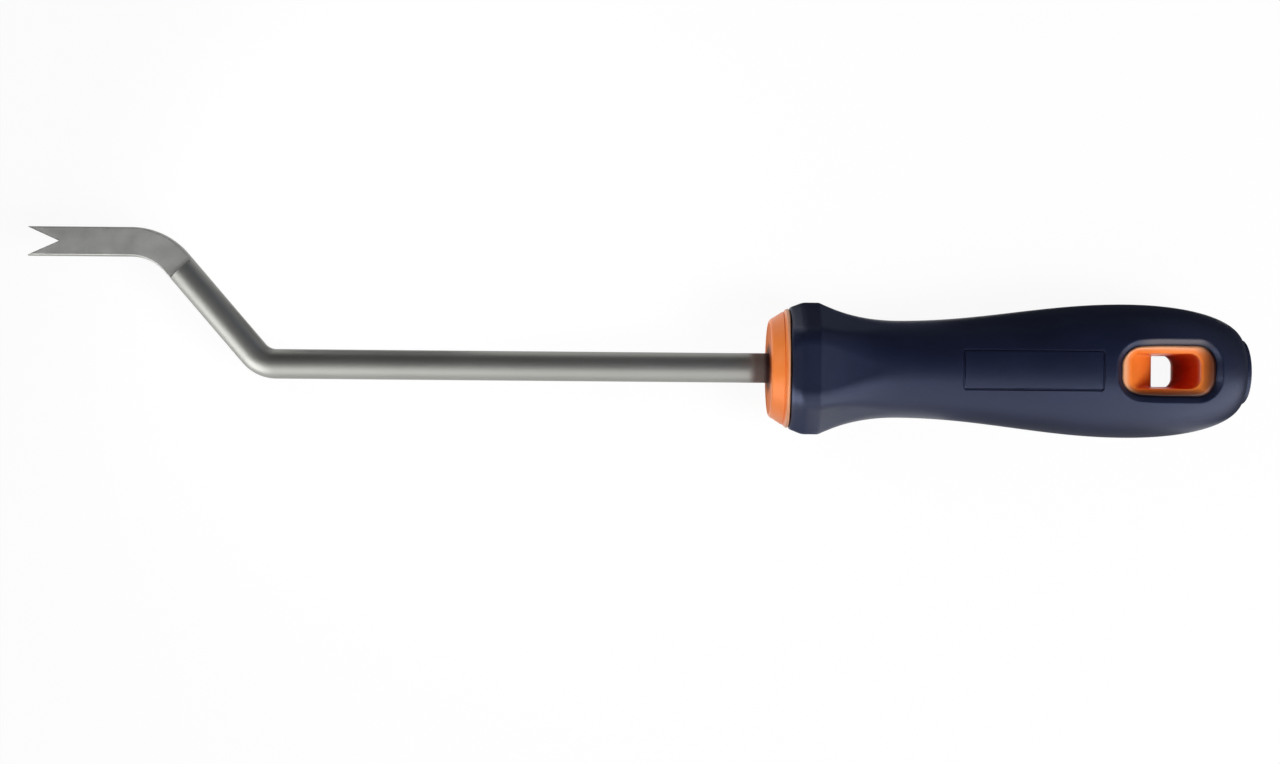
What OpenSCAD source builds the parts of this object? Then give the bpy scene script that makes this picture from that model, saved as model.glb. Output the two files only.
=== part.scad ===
// Forked lever tool for releasing car grab handles: a cranked steel bar with a notched
// flat blade, set in a handle of hard core and soft grip that has a hanging hole.
// Drawn lying flat: the crank steps sideways along +Y, the blade points along -X, and the
// origin is the middle of the collar's lower flat, on the surface that the tool lies on.

/* [Steel bar] */
// Diameter of the round bar
bar_d = 8; // [6:0.5:11]
// Straight length from the nose of the handle to the corner of the lower bend
reach = 136.4; // [80:1:220]
// Sideways step from the axis of the bar to the axis of the blade
crank_step = 32.6; // [26:0.5:60]
// Angle between the slanting leg and the bar
crank_angle = 49; // [35:1:60]
// Centreline radius of the bend nearer the handle
lower_bend_r = 8; // [7:0.5:12]
// Centreline radius of the bend nearer the blade
upper_bend_r = 16; // [8:0.5:20]
// Room between the hidden end of the bar and the hanging hole's rim
tang_gap = 4; // [2:0.5:12]
// Width across the pressed ears that stop the bar turning in the handle
ear_span = 12; // [11.5:0.5:14]
// Thickness of the pressed ears
ear_t = 3; // [2:0.5:5]
// Length of the pressed ears along the bar
ear_len = 9; // [5:0.5:15]

/* [Fork blade] */
// Length from the corner of the upper bend to the tips
blade_len = 35.1; // [28:0.5:60]
// Thickness of the blade left between the two milled faces
blade_t = 3.2; // [2:0.1:5]
// Distance from the corner of the upper bend to the milled shoulder
shoulder_x = 9.9; // [9.5:0.1:14]
// Radius that the side of the cutter leaves in the foot of the shoulder
cutter_r = 0.8; // [0.4:0.1:1.4]
// Depth of the notch between the tips
notch_depth = 8.6; // [5:0.2:14]
// Width of the flat left on each tip
tip_flat = 0.15; // [0.1:0.05:0.6]

/* [Handle] */
// Length of the handle from nose to butt
handle_len = 129; // [122:0.5:150]
// Diameter of the flat face at the nose
nose_face_d = 24.6; // [20:0.2:26]
// Radius on the rim of the nose
nose_round = 1.2; // [0.5:0.1:2]
// Diameter of the nose where the soft grip starts
nose_d = 32.2; // [30:0.2:32.4]
// Length of the hard nose in front of the soft grip
nose_len = 5.5; // [4:0.1:8]
// Size of the hexagonal collar across its flats
collar_af = 32.4; // [30:0.2:38]
// Corner radius of the collar's hexagon
collar_corner_r = 5.9; // [3:0.1:10]
// Width of the soft grip's front edge
bevel_w = 32.8; // [32:0.2:34]
// Length of the bevel in front of the collar
collar_bevel = 3.6; // [2:0.1:6]
// Length of the collar's full-size land
collar_land = 4.4; // [3:0.1:10]
// Distance from the nose to the waist
waist_x = 34.6; // [28:0.5:45]
// Diameter of the waist
waist_d = 26.2; // [22:0.2:30]
// Distance from the butt to the widest place of the belly
belly_gap = 33.6; // [28:0.2:38]
// Width of the belly
belly_w = 36; // [33:0.1:40]
// Depth of the belly, which is flattened a little
belly_depth = 32.2; // [29:0.1:32.4]
// Diameter of the flat pad on the butt
butt_pad_d = 16.4; // [10:0.2:20]
// Height of the flat pad on the butt
butt_pad_h = 1.2; // [0.5:0.1:2]
// Thickness of the soft grip over the hard core
grip_t = 3; // [2:0.1:4.5]

/* [Hanging hole] */
// Distance from the butt to the rim of the hanging hole
rim_x = 12.4; // [11:0.2:18]
// Length of the hard rim along the handle
rim_len = 25.3; // [22:0.1:30]
// Width of the hard rim
rim_w = 13.5; // [12:0.1:18]
// Corner radius of the hard rim
rim_corner_r = 6; // [3:0.1:6]
// Depth of the rim below the face of the soft grip
rim_sink = 0.6; // [0.2:0.1:1.5]
// Width of the sloping face along the sides of the rim
rim_slope = 2.6; // [1.5:0.1:3.5]
// Width of the sloping face at the ends of the rim
rim_end_slope = 3.3; // [2:0.1:4.5]
// Depth of the sloping face of the rim
rim_slope_h = 2.8; // [1.5:0.1:4]
// Corner radius of the hole inside the rim
hole_corner_r = 1.8; // [1:0.1:2.5]
// Length of the clear throat at half depth
throat_len = 9.2; // [6:0.1:14]
// Slope of the hole's butt end, as a step from the rim to the throat
throat_draft = 0.8; // [0.2:0.1:2]

/* [Hidden] */
$fn = 96;
bar_sides = 48;    // points round one section of the bar
bend_steps = 8;    // sections along one bend of the bar
grip_sides = 60;   // points round one section of the soft grip
curve_steps = 9;   // sections along one curve of the soft grip
far = 400;         // longer than anything here, for cutters
hair = 0.01;
ear_inset = 4;     // from the hidden end of the bar to its ears
nose_band = 0.3;   // length of the straight band behind the nose's cone
front_hex = 0.7;   // how six-sided the soft grip's front edge is
front_break = [0.9, 0.25];     // length and drop of the eased edge in front of the land
back_break = [1.1, 0.55];      // length and drop of the eased edge behind the land
pad_break = [0.3, 0.4];        // length and drop of the eased edge of the butt's pad
flare_pull = [1.4, 0.4];       // how far and how steeply the collar runs on before it curves
waist_pull = [12.2, 23];       // how long the waist stays slim, towards the nose and the butt
belly_pull = 22;               // how long the belly stays full, towards the nose
butt_pull = 7.7;               // where the belly's fullness would end, from the pad
pad_pull = [2.8, 4.1];         // how the butt turns into the pad, along and across
core_front = 1;                // length over which the core widens behind the nose
core_front_step = 0.4;         // how much slimmer the core is behind the nose than the grip allows
core_collar_step = 0.2;        // the same under the collar
core_waist = 10;               // length of the core's slim part behind the waist
core_belly = [18, 6];          // length of the core's full part before and behind the belly
core_over = 4;                 // how far the core runs past the rim

bar_r = bar_d / 2;
leg_len = crank_step / sin(crank_angle);
lower_tangent = lower_bend_r * tan(crank_angle / 2);
upper_tangent = upper_bend_r * tan(crank_angle / 2);
notch_mouth = bar_d - 2 * tip_flat;

land_start = nose_len + collar_bevel;
land_end = land_start + collar_land;
land_mid = (land_start + land_end) / 2;
axis_h = collar_af / 2;
flat_share = 1 - 2 * collar_corner_r / collar_af;

belly_x = handle_len - belly_gap;
rim_end = handle_len - rim_x;
rim_start = rim_end - rim_len;
rim_mid = (rim_start + rim_end) / 2;
hole_len = rim_len - 2 * rim_end_slope;
hole_w = rim_w - 2 * rim_slope;
hole_end = rim_end - rim_end_slope;
hole_start = rim_start + rim_end_slope;
throat_end = hole_end - throat_draft;
throat_start = throat_end - throat_len;
tang_len = rim_start - tang_gap;
ear_end = tang_len - ear_inset;

function smooth(t) = let (u = max(0, min(1, t))) u * u * (3 - 2 * u);

// A point at t on the curve that four points steer
function bezier(p, t) =
    pow(1 - t, 3) * p[0] + 3 * pow(1 - t, 2) * t * p[1]
    + 3 * (1 - t) * t * t * p[2] + pow(t, 3) * p[3];

function curve(p) = [for (i = [1:curve_steps]) bezier(p, i / curve_steps)];

// The grip's side outline as [distance from the nose, half width]
corner_reach = (collar_af / 2 - collar_corner_r) / cos(30) + collar_corner_r;
flare_x = land_end + back_break[0];
flare_r = corner_reach - back_break[1];
pad_x = handle_len - butt_pad_h;
flare = [[flare_x, flare_r], [flare_x + flare_pull[0], flare_r - flare_pull[1]],
    [waist_x - waist_pull[0], waist_d / 2], [waist_x, waist_d / 2]];
swell = [[waist_x, waist_d / 2], [waist_x + waist_pull[1], waist_d / 2], [belly_x - belly_pull, belly_w / 2],
    [belly_x, belly_w / 2]];
butt = [[belly_x, belly_w / 2], [pad_x - butt_pull, belly_w / 2],
    [pad_x - pad_pull[0], butt_pad_d / 2 + pad_pull[1]], [pad_x, butt_pad_d / 2]];
outline = concat(
    [[nose_len, bevel_w / 2], [land_start - front_break[0], corner_reach - front_break[1]],
        [land_start, corner_reach], [land_end, corner_reach], [flare_x, flare_r]],
    curve(flare), curve(swell), curve(butt),
    [[handle_len - pad_break[0], butt_pad_d / 2], [handle_len, butt_pad_d / 2 - pad_break[1]]]);

// How six-sided the section is: 1 on the collar, 0 from the waist on
function hexness(x) = x < land_start
    ? front_hex + (1 - front_hex) * (x - nose_len) / collar_bevel
    : 1 - smooth((x - land_end) / (waist_x - land_end));

// How much the section is flattened
function flatten(x) = 1 + (belly_depth / belly_w - 1) * smooth((x - waist_x) / (belly_x - waist_x));

// Distance from the axis to a rounded hexagon's edge, with the middle of a flat at angle 0
function hexagon_r(angle, flat_r, corner_r) = let (
    off = abs((angle % 60) - 30),
    corner_x = (flat_r - corner_r) / cos(30),
    turn = atan2(corner_r * sin(30), corner_x + corner_r * cos(30)))
    off < turn
        ? corner_x * cos(off) + sqrt(pow(corner_r, 2) - pow(corner_x * sin(off), 2))
        : flat_r / cos(30 - off);

function section(x, half_w) = let (
    share = 1 - hexness(x) * flat_share,
    flat_r = half_w / ((1 - share) / cos(30) + share))
    [for (i = [0:grip_sides - 1]) let (
        angle = 360 * i / grip_sides,
        r = hexagon_r(angle, flat_r, flat_r * share))
        [x, r * sin(angle), flatten(x) * r * cos(angle)]];

function half_depth(x) = lookup(x, outline) * flatten(x);

// Skin through a stack of sections that all have the same number of points
module loft(sections) {
    n = len(sections[0]);
    m = len(sections);
    middles = [for (s = [sections[0], sections[m - 1]]) (s[0] + s[floor(n / 2)]) / 2];
    sides = [for (j = [0:m - 2], i = [0:n - 1]) let (
        a = j * n + i,
        b = j * n + (i + 1) % n)
        each [[a, b, b + n], [a, b + n, a + n]]];
    front = [for (i = [0:n - 1]) [m * n, (i + 1) % n, i]];
    back = [for (i = [0:n - 1]) [m * n + 1, (m - 1) * n + i, (m - 1) * n + (i + 1) % n]];
    polyhedron(points = concat([for (s = sections) each s], middles), faces = concat(sides, front, back));
}

// Puts a piece drawn along the bar's axis from the nose where the tool lies
module lying() {
    translate([-land_mid, 0, axis_h]) children();
}

// Ends and bends of the bar's centreline as [x, y, how far it has turned from the bar's axis]
upper_corner = [-reach - leg_len * cos(crank_angle), crank_step];
lower_arc = [for (i = [0:bend_steps]) let (a = crank_angle * i / bend_steps)
    [-reach + lower_tangent - lower_bend_r * sin(a), lower_bend_r * (1 - cos(a)), a]];
upper_arc = [for (i = [bend_steps:-1:0]) let (a = crank_angle * i / bend_steps)
    [upper_corner[0] - upper_tangent + upper_bend_r * sin(a),
        upper_corner[1] - upper_bend_r * (1 - cos(a)), a]];
centreline = concat([[tang_len, 0, 0]], lower_arc, upper_arc,
    [[upper_corner[0] - blade_len, upper_corner[1], 0]]);

function bar_section(place) = [for (i = [0:bar_sides - 1]) let (
    angle = 360 * i / bar_sides,
    side = bar_r * sin(angle))
    [place[0] - side * sin(place[2]), place[1] - side * cos(place[2]), bar_r * cos(angle)]];

// Moves to the corner of the upper bend
module on_blade() {
    translate(upper_corner) children();
}

module ears() {
    translate([ear_end - ear_len / 2, 0, 0]) cube([ear_len, ear_span, ear_t], center = true);
}

module tang_hole() {
    translate([-hair, 0, 0]) rotate([0, 90, 0]) cylinder(r = bar_r, h = tang_len + hair);
    ears();
}

// What the cutter takes off above the blade, as far as its rounded foot at the shoulder
module milled_away() {
    cut_w = crank_step + blade_len + bar_d;
    on_blade() rotate([0, 0, -crank_angle]) translate([shoulder_x, 0, 0]) {
        translate([-far, -cut_w, blade_t / 2 + cutter_r]) cube([far, 2 * cut_w, bar_d]);
        translate([-far, -cut_w, blade_t / 2]) cube([far - cutter_r, 2 * cut_w, bar_d]);
        translate([-cutter_r, cut_w, blade_t / 2 + cutter_r]) rotate([90, 0, 0])
            cylinder(r = cutter_r, h = 2 * cut_w);
    }
}

module notch() {
    apex = -blade_len + notch_depth;
    widen = notch_mouth / notch_depth;
    on_blade() linear_extrude(height = 2 * bar_d, center = true)
        polygon([[apex, 0], [apex - 2 * notch_depth, notch_depth * widen],
            [apex - 2 * notch_depth, -notch_depth * widen]]);
}

module forked_shaft() {
    color("#8a8b87") lying() difference() {
        union() {
            loft([for (place = centreline) bar_section(place)]);
            ears();
        }
        milled_away();
        mirror([0, 0, 1]) milled_away();
        notch();
    }
}

// The hard core under the soft grip, turned about the bar's axis
module spindle() {
    hidden_end = rim_end + core_over;
    collar_r = collar_af / 2 - grip_t - core_collar_step;
    slim_r = waist_d / 2 - grip_t;
    full_r = belly_depth / 2 - grip_t;
    rotate([0, 90, 0]) rotate_extrude() polygon([[0, nose_len - hair],
        [nose_d / 2 - grip_t - core_front_step, nose_len - hair],
        [collar_r, nose_len + core_front], [collar_r, land_end],
        [slim_r, waist_x], [slim_r, waist_x + core_waist],
        [full_r, belly_x - core_belly[0]], [full_r, belly_x + core_belly[1]],
        [half_depth(hidden_end) - grip_t, hidden_end], [0, hidden_end]]);
}

module nose() {
    face_r = nose_face_d / 2;
    steep = atan2(nose_d / 2 - face_r - nose_round, nose_len - nose_round);
    rotate([0, 90, 0]) rotate_extrude() {
        polygon([[0, 0], [face_r, 0], [face_r + nose_round * cos(steep), nose_round * (1 - sin(steep))],
            [nose_d / 2, nose_len - nose_band], [nose_d / 2, nose_len], [0, nose_len]]);
        intersection() {
            translate([face_r, nose_round]) circle(r = nose_round);
            translate([face_r, 0]) square([nose_round * cos(steep), nose_round]);
        }
    }
}

module rounded_slab(length, width, corner_r, height) {
    linear_extrude(height = height) union() {
        square([length - 2 * corner_r, width], center = true);
        square([length, width - 2 * corner_r], center = true);
        for (sx = [-1, 1], sy = [-1, 1])
            translate([sx * (length / 2 - corner_r), sy * (width / 2 - corner_r)]) circle(r = corner_r);
    }
}

module rim_outline(height) {
    translate([rim_mid, 0, 0]) rounded_slab(rim_len, rim_w, rim_corner_r, height);
}

// Crowned top of the rim, which follows the handle's face a little below it
module crown() {
    span = rim_end - belly_x;
    drop = belly_depth / 2 - half_depth(rim_end);
    along_r = (pow(span, 2) + pow(drop, 2)) / (2 * drop);
    across_r = pow(belly_w, 2) / (2 * belly_depth);
    top = belly_depth / 2 - rim_sink;
    translate([belly_x, 0, top - along_r]) rotate([90, 0, 0]) rotate_extrude()
        translate([along_r - across_r, 0]) circle(r = across_r);
}

module rim_boss() {
    for (side = [0, 1]) mirror([0, 0, side]) intersection() {
        rim_outline(belly_depth / 2);
        crown();
    }
}

// The hole: a sloping mouth, a ramp on the nose side and a near upright wall at the butt
module hanging_hole() {
    mouth_z = half_depth(rim_mid) - rim_sink;
    deep_z = mouth_z - rim_slope_h;
    over = 2;
    spread = 2 * over / rim_slope_h;
    for (side = [0, 1]) mirror([0, 0, side]) translate([rim_mid, 0, 0]) hull() {
        translate([0, 0, deep_z]) rounded_slab(hole_len, hole_w, hole_corner_r, hair, $fn = 32);
        translate([0, 0, mouth_z + over])
            rounded_slab(rim_len + rim_end_slope * spread, rim_w + rim_slope * spread, rim_corner_r, hair,
                $fn = 32);
    }
    intersection() {
        translate([0, hole_w, 0]) rotate([90, 0, 0]) linear_extrude(height = 2 * hole_w)
            polygon([[hole_start, deep_z + over], [hole_start, deep_z], [throat_start, 0],
                [hole_start, -deep_z], [hole_start, -deep_z - over], [hole_end, -deep_z - over],
                [hole_end, -deep_z], [throat_end, 0], [hole_end, deep_z], [hole_end, deep_z + over]]);
        translate([rim_mid, 0, -deep_z - hair])
            rounded_slab(hole_len, hole_w, hole_corner_r, 2 * deep_z + 2 * hair);
    }
}

module handle_core() {
    color("#ee8440") lying() difference() {
        union() {
            nose();
            spindle();
            rim_boss();
        }
        tang_hole();
        hanging_hole();
    }
}

module soft_grip() {
    color("#23283c") lying() difference() {
        loft([for (s = outline) section(s[0], s[1])]);
        spindle();
        translate([0, 0, -belly_depth]) rim_outline(2 * belly_depth);
    }
}

forked_shaft();
handle_core();
soft_grip();
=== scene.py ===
import bisect
from math import atan2, ceil, cos, hypot, pi, radians, sin, sqrt, tan

import bpy
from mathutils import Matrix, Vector


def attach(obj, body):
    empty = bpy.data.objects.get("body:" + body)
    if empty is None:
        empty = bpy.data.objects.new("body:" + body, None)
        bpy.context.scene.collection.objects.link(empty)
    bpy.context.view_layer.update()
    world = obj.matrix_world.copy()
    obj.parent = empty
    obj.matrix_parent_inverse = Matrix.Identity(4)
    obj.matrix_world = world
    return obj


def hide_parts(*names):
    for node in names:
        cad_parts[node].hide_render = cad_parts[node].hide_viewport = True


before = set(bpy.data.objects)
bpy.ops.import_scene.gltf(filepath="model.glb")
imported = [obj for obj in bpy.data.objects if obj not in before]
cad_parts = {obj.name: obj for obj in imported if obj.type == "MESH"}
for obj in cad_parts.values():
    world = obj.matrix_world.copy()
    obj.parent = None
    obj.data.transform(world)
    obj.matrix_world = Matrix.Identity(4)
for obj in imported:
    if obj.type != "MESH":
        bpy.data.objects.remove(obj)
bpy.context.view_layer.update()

# Shapes are worked out in millimetres from the nose of the handle, along the bar's axis
mm = 0.001
noseToOrigin = 11.3
axisHeight = 16.2


def place(x, y, z):
    return ((x - noseToOrigin) * mm, y * mm, (z + axisHeight) * mm)


def smooth(t):
    t = min(1.0, max(0.0, t))
    return t * t * (3 - 2 * t)


def blend(a, b, t):
    return a + (b - a) * t


def spread(start, end, step):
    count = max(1, ceil(abs(end - start) / step - 1e-6))
    return [start + (end - start) * i / count for i in range(count + 1)]


def addObject(name, data):
    thing = bpy.data.objects.new(name, data)
    bpy.context.scene.collection.objects.link(thing)
    return thing


def meshPiece(name, points, faces, material, sharpAngle, marks):
    mesh = bpy.data.meshes.new(name)
    mesh.from_pydata([place(*p) for p in points], [], faces)
    for mark, values in marks.items():
        mesh.attributes.new(mark, "FLOAT", "POINT").data.foreach_set("value", values)
    mesh.validate()
    mesh.update()
    mesh.shade_smooth()
    mesh.set_sharp_from_angle(angle=radians(sharpAngle))
    mesh.materials.append(material)
    return addObject(name, mesh)


def fit(piece, node):
    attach(piece, "root")
    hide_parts(node)
    triangles = sum(len(p.vertices) - 2 for p in piece.data.polygons)
    print(f"{piece.name}: {triangles} triangles")


class Wire:  # a socket that takes part in Python expressions
    def __init__(self, tree, socket):
        self.tree = tree
        self.socket = socket

    def maths(self, operation, *values):
        node = self.tree.nodes.new("ShaderNodeMath")
        node.operation = operation
        for slot, value in zip(node.inputs, values):
            if isinstance(value, Wire):
                self.tree.links.new(value.socket, slot)
            else:
                slot.default_value = value
        return Wire(self.tree, node.outputs[0])

    def __add__(self, other):
        return self.maths("ADD", self, other)

    def __radd__(self, other):
        return self.maths("ADD", other, self)

    def __sub__(self, other):
        return self.maths("SUBTRACT", self, other)

    def __rsub__(self, other):
        return self.maths("SUBTRACT", other, self)

    def __mul__(self, other):
        return self.maths("MULTIPLY", self, other)

    def __rmul__(self, other):
        return self.maths("MULTIPLY", other, self)

    def __truediv__(self, other):
        return self.maths("DIVIDE", self, other)

    def __rtruediv__(self, other):
        return self.maths("DIVIDE", other, self)

    def __abs__(self):
        return self.maths("ABSOLUTE", self)

    def sign(self):
        return self.maths("SIGN", self)

    def root(self):
        return self.maths("SQRT", self.most(0))

    def least(self, other):
        return self.maths("MINIMUM", self, other)

    def most(self, other):
        return self.maths("MAXIMUM", self, other)

    def above(self, other):
        return self.maths("GREATER_THAN", self, other)

    def ease(self, low, high):  # 0 at low, 1 at high, whichever of the two is larger
        t = ((self - low) / (high - low)).most(0).least(1)
        return t * t * (3 - 2 * t)


class Workbench:  # adds nodes to one tree
    def __init__(self, tree):
        self.tree = tree

    def add(self, kind, settings, values, out=0):
        node = self.tree.nodes.new(kind)
        for key, value in settings.items():
            if key == "stops":
                while len(node.color_ramp.elements) < len(value):
                    node.color_ramp.elements.new(1)
                for index, (position, colour) in enumerate(value):
                    node.color_ramp.elements[index].position = position
                    node.color_ramp.elements[index].color = colour
            else:
                setattr(node, key, value)
        for key, value in values.items():
            slot = self.find(node.inputs, key)
            if isinstance(value, Wire):
                self.tree.links.new(value.socket, slot)
            else:
                slot.default_value = value
        return Wire(self.tree, self.find(node.outputs, out)) if node.outputs else None

    def find(self, sockets, key):
        if isinstance(key, int):
            return sockets[key]
        return next(s for s in sockets if s.identifier == key or (s.enabled and s.name == key))

    def parts(self, vector):
        return [self.add("ShaderNodeSeparateXYZ", {}, {0: vector}, i) for i in range(3)]

    def vector(self, x, y, z):
        return self.add("ShaderNodeCombineXYZ", {}, {0: x, 1: y, 2: z})

    def where(self):
        return self.add("ShaderNodeTexCoord", {}, {}, "Object")

    def mark(self, name):
        return self.add("ShaderNodeAttribute", {"attribute_name": name}, {}, "Fac")

    def mixed(self, share, first, second, way="MIX"):
        return self.add("ShaderNodeMix", {"data_type": "RGBA", "blend_type": way},
                        {"Factor_Float": share, "A_Color": first, "B_Color": second}, "Result_Color")

    def noise(self, where, scale, detail=2, roughness=0.5):
        return self.add("ShaderNodeTexNoise", {}, {"Vector": where, "Scale": scale, "Detail": detail,
                                                   "Roughness": roughness})

    def bump(self, height, strength, distance):
        return self.add("ShaderNodeBump", {}, {"Strength": strength, "Distance": distance, "Height": height})

    def principled(self, values):
        return self.add("ShaderNodeBsdfPrincipled", {}, values)

    def surface(self, shader):
        self.add("ShaderNodeOutputMaterial", {}, {"Surface": shader})


def tint(hexCode):
    parts = [int(hexCode[i:i + 2], 16) / 255 for i in (1, 3, 5)]
    return tuple(p / 12.92 if p <= 0.04045 else ((p + 0.055) / 1.055) ** 2.4 for p in parts) + (1,)


def blankMaterial(name):
    material = bpy.data.materials.new(name)
    material.use_nodes = True
    tree = material.node_tree
    tree.nodes.clear()
    return material, Workbench(tree)


# Camera: straight above the tool, with the photograph's scale on the bar's axis
view = {
    "pixel": 0.27,  # millimetres on the bar's axis
    "pictureWidth": 1280,  # pixels
    "distance": 441.7,  # above the bar's axis
    "centreX": -45.9,  # from the frame's origin
    "centreY": -4.05,
    "turn": 0.5,  # degrees
    "sensor": 36,
    "clipStart": 0.01,  # metres
}


def makeCamera():
    data = bpy.data.cameras.new("overheadCamera")
    data.sensor_width = view["sensor"]
    data.lens = view["sensor"] * view["distance"] / (view["pixel"] * view["pictureWidth"])
    data.clip_start = view["clipStart"]
    camera = addObject("overheadCamera", data)
    height = view["distance"] + axisHeight
    camera.location = (view["centreX"] * mm, view["centreY"] * mm, height * mm)
    camera.rotation_euler = (0, 0, radians(view["turn"]))
    bpy.context.scene.camera = camera


makeCamera()
print("camera set")


# Steel bar: a round rod bent twice, milled flat in front of the shoulder and notched at its end
bar = {
    "radius": 4.0,
    "tangEnd": 87.3,  # inside the handle
    "reach": 136.4,  # from the nose to the corner of the lower bend
    "step": 32.6,  # how far the crank carries the blade sideways
    "angle": 49,
    "lowerBend": 8,  # the bends' radii on the rod's axis
    "upperBend": 16,
    "bladeLength": 35.1,  # from the upper bend's corner to the tips
    "bladeHalf": 1.6,
    "shoulder": 9.9,  # from the upper bend's corner back along the leg
    "cutter": 0.8,  # radius in the shoulder's foot
    "edgeBreak": 0.22,
    "notchDepth": 8.6,
    "notchMouth": 7.7,
    "notchRun": 2,  # how many times its own depth the notch's cutter is long
    "sides": 192,
    "sharpAngle": 30,
}

# Where the rod gets its stations: the steps along its parts and the number in each bend
barStations = {
    "rod": 8,
    "leg": 6,
    "milled": 0.6,
    "blade": 1.5,
    "lowerBend": 64,
    "upperBend": 96,
    "shoulderMargin": 0.3,
    "shoulderEdge": 0.01,
    "foot": (0.06, 0.15, 0.28, 0.45, 0.7, 1),  # shares of the cutter's radius
}


def barPath():
    at = barStations
    angle = radians(bar["angle"])
    leg = bar["step"] / sin(angle)
    cornerX, bladeY = -bar["reach"] - leg * cos(angle), bar["step"]
    lowerTangent = bar["lowerBend"] * tan(angle / 2)
    upperTangent = bar["upperBend"] * tan(angle / 2)
    lowerX = -bar["reach"] + lowerTangent
    upperX = cornerX - upperTangent
    path = [(x, 0) for x in spread(bar["tangEnd"], lowerX, at["rod"])]
    for i in range(1, at["lowerBend"] + 1):
        a = angle * i / at["lowerBend"]
        path.append((lowerX - bar["lowerBend"] * sin(a), bar["lowerBend"] * (1 - cos(a))))
    shoulder, foot = bar["shoulder"], bar["cutter"]
    marks = spread(leg - lowerTangent, shoulder + at["shoulderMargin"], at["leg"])[1:]
    marks += [shoulder + at["shoulderEdge"], shoulder - at["shoulderEdge"]]
    marks += [shoulder - foot * share for share in at["foot"]]
    marks += spread(shoulder - foot, upperTangent, at["milled"])[1:-1]
    path += [(cornerX + s * cos(angle), bladeY - s * sin(angle)) for s in marks]
    for i in range(at["upperBend"] + 1):
        a = angle * (1 - i / at["upperBend"])
        path.append((upperX + bar["upperBend"] * sin(a), bladeY - bar["upperBend"] * (1 - cos(a))))
    tipX = cornerX - bar["bladeLength"]
    path += [(x, bladeY) for x in spread(upperX, tipX, at["blade"])[1:]]
    return path, (cornerX, bladeY)


def barTree(material):
    tree = bpy.data.node_groups.new("sweptForkedBar", "GeometryNodeTree")
    face = tree.interface
    face.new_socket("Path", in_out="INPUT", socket_type="NodeSocketGeometry")
    for name in ("Bar radius", "Blade half thickness", "Cutter radius", "Edge break", "Axis height",
                 "Shoulder", "Leg x", "Leg y", "Corner x", "Corner y",
                 "Notch apex x", "Notch length", "Notch width"):
        face.new_socket(name, in_out="INPUT", socket_type="NodeSocketFloat")
    face.new_socket("Sides", in_out="INPUT", socket_type="NodeSocketInt")
    face.new_socket("Bar", in_out="OUTPUT", socket_type="NodeSocketGeometry")
    bench = Workbench(tree)

    def take(name):
        return bench.add("NodeGroupInput", {}, {}, name)

    radius, half, cutter = take("Bar radius"), take("Blade half thickness"), take("Cutter radius")
    edge, axis = take("Edge break"), take("Axis height")
    cornerX, cornerY = take("Corner x"), take("Corner y")
    curve = bench.add("GeometryNodeMeshToCurve", {}, {"Mesh": take("Path")})
    ring = bench.add("GeometryNodeCurvePrimitiveCircle", {}, {"Resolution": take("Sides"), "Radius": radius})
    rod = bench.add("GeometryNodeCurveToMesh", {},
                    {"Curve": curve, "Profile Curve": ring, "Fill Caps": True})

    # In front of the shoulder the points come down to the milled flat, round the cutter's radius first
    x, y, z = bench.parts(bench.add("GeometryNodeInputPosition", {}, {}))
    beyond = take("Shoulder") - ((x - cornerX) * take("Leg x") + (y - cornerY) * take("Leg y"))
    sunk = (cutter - beyond).most(0)
    flat = half + cutter - (cutter * cutter - sunk * sunk).root()
    height = abs(z - axis)
    side = (radius * radius - height * height).root()
    # The edge between the flat and the round side is a small arc that touches both
    edgeSide = ((radius - edge) * (radius - edge) - (flat - edge) * (flat - edge)).root()
    arcEnd = (flat - edge) * radius / (radius - edge)
    away = (side - edgeSide).most(0)
    milled = flat - edge + (edge * edge - away * away).root()
    cut = beyond.above(0) * height.above(arcEnd)
    newHeight = height + cut * (milled.least(height) - height)
    spot = bench.vector(x, y, axis + (z - axis).sign() * newHeight)
    shaped = bench.add("GeometryNodeSetPosition", {}, {"Geometry": rod, "Position": spot})
    shaped = bench.add("GeometryNodeStoreNamedAttribute", {"data_type": "FLOAT", "domain": "POINT"},
                       {"Geometry": shaped, "Name": "milled", "Value": cut})

    # The notch's cutter is a three-sided cylinder: at radius 1 it is 1.5 long and sqrt(3) wide
    wedge = bench.add("GeometryNodeMeshCylinder", {}, {"Vertices": 3, "Radius": 1.0, "Depth": 1.0}, "Mesh")
    wedgeLength = take("Notch length") / 1.5
    size = bench.vector(wedgeLength, take("Notch width") / sqrt(3), radius * 4)
    spot = bench.vector(take("Notch apex x") - wedgeLength, cornerY, axis)
    wedge = bench.add("GeometryNodeTransform", {}, {"Geometry": wedge, "Translation": spot, "Scale": size})
    notched = bench.add("GeometryNodeMeshBoolean", {"operation": "DIFFERENCE", "solver": "EXACT"},
                        {"Mesh 1": shaped, "Mesh 2": wedge}, "Mesh")
    real = bench.add("GeometryNodeRealizeInstances", {}, {"Geometry": notched})
    done = bench.add("GeometryNodeSetMaterial", {}, {"Geometry": real, "Material": material})
    bench.add("NodeGroupOutput", {}, {"Bar": done})
    return tree


def setInputs(modifier, tree, values):
    for item in tree.interface.items_tree:
        if item.item_type == "SOCKET" and item.in_out == "INPUT" and item.name in values:
            modifier[item.identifier] = values[item.name]


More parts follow.
